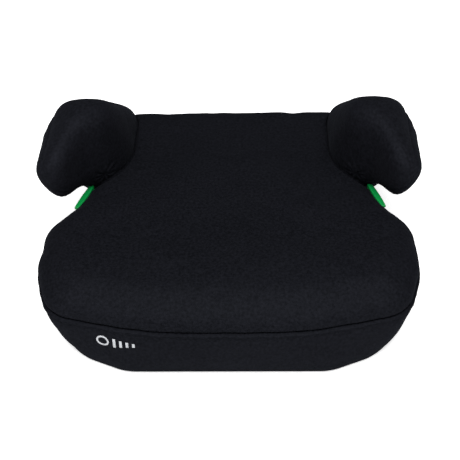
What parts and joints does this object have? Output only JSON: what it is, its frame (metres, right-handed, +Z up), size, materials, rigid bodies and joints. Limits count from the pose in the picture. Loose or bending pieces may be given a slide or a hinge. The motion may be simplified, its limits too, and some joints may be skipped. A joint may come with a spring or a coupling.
{
  "type": "booster seat",
  "caption": "Backless child booster seat: padded fabric-covered seat, two fixed padded armrests, and a belt guide in the notch under each armrest.",
  "frame": {"origin": "centre of the footprint, on the plane the feet stand on", "axes": "+X to the right across both armrests, +Y towards the back of the vehicle seat, +Z up; the front edge faces -Y"},
  "size_m": [0.4392, 0.38, 0.196],
  "materials": {
    "cover_fabric": "fine black knit, laminated to thin foam",
    "padding_foam": null,
    "shell_plastic": "moulded black polypropylene",
    "base_plastic": "moulded black polypropylene, fine texture",
    "hook_plastic": "moulded black nylon",
    "guide_plastic": "moulded green polypropylene, satin",
    "foot_rubber": "black rubber",
    "elastic_band": "black woven elastic",
    "screw_steel": "zinc-plated steel",
    "print_ink": "light grey transfer print"
  },
  "bodies": {
    "root": {"armrest_cover_outer_left": "cover_fabric", "armrest_cover_outer_right": "cover_fabric", "armrest_cover_top_left": "cover_fabric", "armrest_cover_top_right": "cover_fabric", "armrest_foam_left": "padding_foam", "armrest_foam_right": "padding_foam", "armrest_half_screws": "screw_steel", "armrest_inner_half_left": "shell_plastic", "armrest_inner_half_right": "shell_plastic", "armrest_outer_half_left": "shell_plastic", "armrest_outer_half_right": "shell_plastic", "armrest_root_bolts": "screw_steel", "base_cover": "base_plastic", "base_screws": "screw_steel", "belt_guide_left": "guide_plastic", "belt_guide_right": "guide_plastic", "belt_guide_screws": "screw_steel", "cover_elastic": "elastic_band", "cover_hooks": "hook_plastic", "cover_print": "print_ink", "foot_front_left": "foot_rubber", "foot_front_right": "foot_rubber", "foot_rear_left": "foot_rubber", "foot_rear_right": "foot_rubber", "seat_cover_skirt": "cover_fabric", "seat_cover_top": "cover_fabric", "seat_foam": "padding_foam", "seat_shell": "shell_plastic"}
  },
  "joints": []
}
